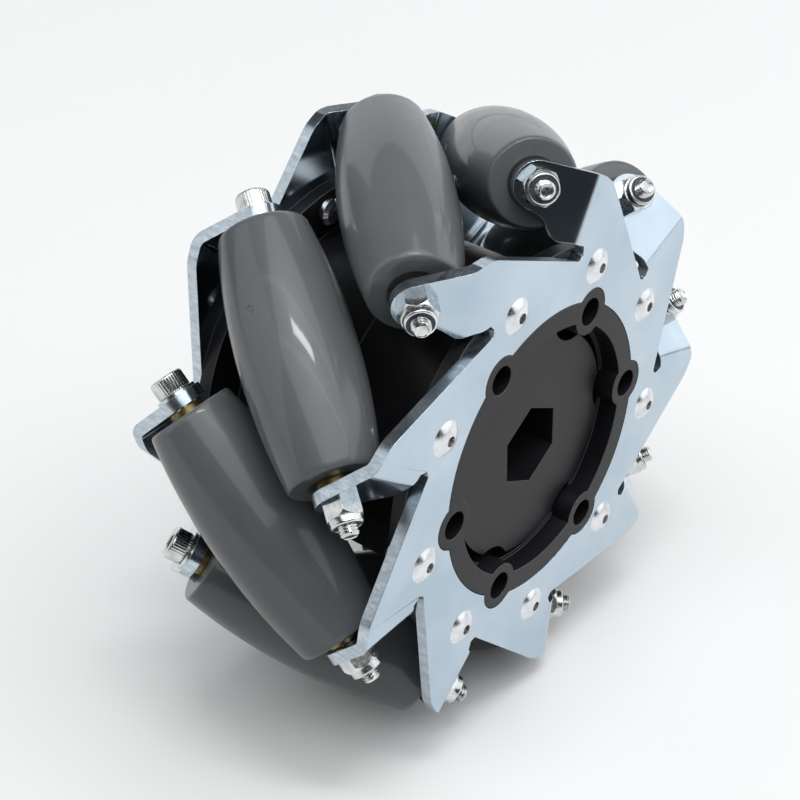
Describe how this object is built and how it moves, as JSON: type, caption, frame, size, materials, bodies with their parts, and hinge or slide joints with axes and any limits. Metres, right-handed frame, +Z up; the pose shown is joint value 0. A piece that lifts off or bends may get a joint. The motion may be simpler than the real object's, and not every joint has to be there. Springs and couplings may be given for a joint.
{
  "type": "mecanum wheel",
  "caption": "Omnidirectional robot wheel: barrel rollers at 45 degrees on screws between two folded steel plates, on a moulded hub with a hexagonal bore and a bolt circle.",
  "frame": {"origin": "centre of the wheel, midway between its plates, on the axle line", "axes": "+Y along the axle away from the plate that carries the lock nuts, +Z up; the wheel rolls along X"},
  "size_m": [0.101, 0.049, 0.1009],
  "materials": {
    "zinc_plate": "bright zinc plating",
    "hub_nylon": "satin moulded nylon",
    "tread_urethane": "smooth moulded urethane",
    "core_nylon": "moulded nylon",
    "bushing_brass": "turned",
    "fastener_steel": "zinc plated",
    "rivet_metal": "bright",
    "insert_nylon": "nylon ring"
  },
  "bodies": {
    "frame": {"near_plate": "zinc_plate", "far_plate": "zinc_plate", "near_hub_half": "hub_nylon", "far_hub_half": "hub_nylon", "near_rivets": "rivet_metal", "far_rivets": "rivet_metal", "nut_inserts": "insert_nylon", "screw_washers": "fastener_steel", "roller_screw_1": "fastener_steel", "lock_nut_1": "fastener_steel", "roller_screw_2": "fastener_steel", "lock_nut_2": "fastener_steel", "roller_screw_3": "fastener_steel", "lock_nut_3": "fastener_steel", "roller_screw_4": "fastener_steel", "lock_nut_4": "fastener_steel", "roller_screw_5": "fastener_steel", "lock_nut_5": "fastener_steel", "roller_screw_6": "fastener_steel", "lock_nut_6": "fastener_steel", "roller_screw_7": "fastener_steel", "lock_nut_7": "fastener_steel", "roller_screw_8": "fastener_steel", "lock_nut_8": "fastener_steel", "roller_screw_9": "fastener_steel", "lock_nut_9": "fastener_steel"},
    "roller_1": {"roller_tread_1": "tread_urethane", "roller_core_1": "core_nylon", "roller_bushings_1": "bushing_brass"},
    "roller_2": {"roller_tread_2": "tread_urethane", "roller_core_2": "core_nylon", "roller_bushings_2": "bushing_brass"},
    "roller_3": {"roller_tread_3": "tread_urethane", "roller_core_3": "core_nylon", "roller_bushings_3": "bushing_brass"},
    "roller_4": {"roller_tread_4": "tread_urethane", "roller_core_4": "core_nylon", "roller_bushings_4": "bushing_brass"},
    "roller_5": {"roller_tread_5": "tread_urethane", "roller_core_5": "core_nylon", "roller_bushings_5": "bushing_brass"},
    "roller_6": {"roller_tread_6": "tread_urethane", "roller_core_6": "core_nylon", "roller_bushings_6": "bushing_brass"},
    "roller_7": {"roller_tread_7": "tread_urethane", "roller_core_7": "core_nylon", "roller_bushings_7": "bushing_brass"},
    "roller_8": {"roller_tread_8": "tread_urethane", "roller_core_8": "core_nylon", "roller_bushings_8": "bushing_brass"},
    "roller_9": {"roller_tread_9": "tread_urethane", "roller_core_9": "core_nylon", "roller_bushings_9": "bushing_brass"}
  },
  "joints": [
    {"name": "roller_1_spin", "type": "hinge", "parent": "frame", "child": "roller_1", "pos_m": [0.0193, 0, 0.03629], "axis": [-0.6243, -0.7071, 0.332], "continuous": true},
    {"name": "roller_2_spin", "type": "hinge", "parent": "frame", "child": "roller_2", "pos_m": [-0.00855, 0, 0.0402], "axis": [-0.6917, -0.7071, -0.147], "continuous": true},
    {"name": "roller_3_spin", "type": "hinge", "parent": "frame", "child": "roller_3", "pos_m": [-0.03239, 0, 0.0253], "axis": [-0.4353, -0.7071, -0.5572], "continuous": true},
    {"name": "roller_4_spin", "type": "hinge", "parent": "frame", "child": "roller_4", "pos_m": [-0.04108, 0, -0.00143], "axis": [0.0247, -0.7071, -0.7067], "continuous": true},
    {"name": "roller_5_spin", "type": "hinge", "parent": "frame", "child": "roller_5", "pos_m": [-0.03054, 0, -0.0275], "axis": [0.4731, -0.7071, -0.5255], "continuous": true},
    {"name": "roller_6_spin", "type": "hinge", "parent": "frame", "child": "roller_6", "pos_m": [-0.00572, 0, -0.0407], "axis": [0.7002, -0.7071, -0.0984], "continuous": true},
    {"name": "roller_7_spin", "type": "hinge", "parent": "frame", "child": "roller_7", "pos_m": [0.02178, 0, -0.03485], "axis": [0.5997, -0.7071, 0.3747], "continuous": true},
    {"name": "roller_8_spin", "type": "hinge", "parent": "frame", "child": "roller_8", "pos_m": [0.03909, 0, -0.0127], "axis": [0.2185, -0.7071, 0.6725], "continuous": true},
    {"name": "roller_9_spin", "type": "hinge", "parent": "frame", "child": "roller_9", "pos_m": [0.03811, 0, 0.0154], "axis": [-0.2649, -0.7071, 0.6556], "continuous": true}
  ]
}
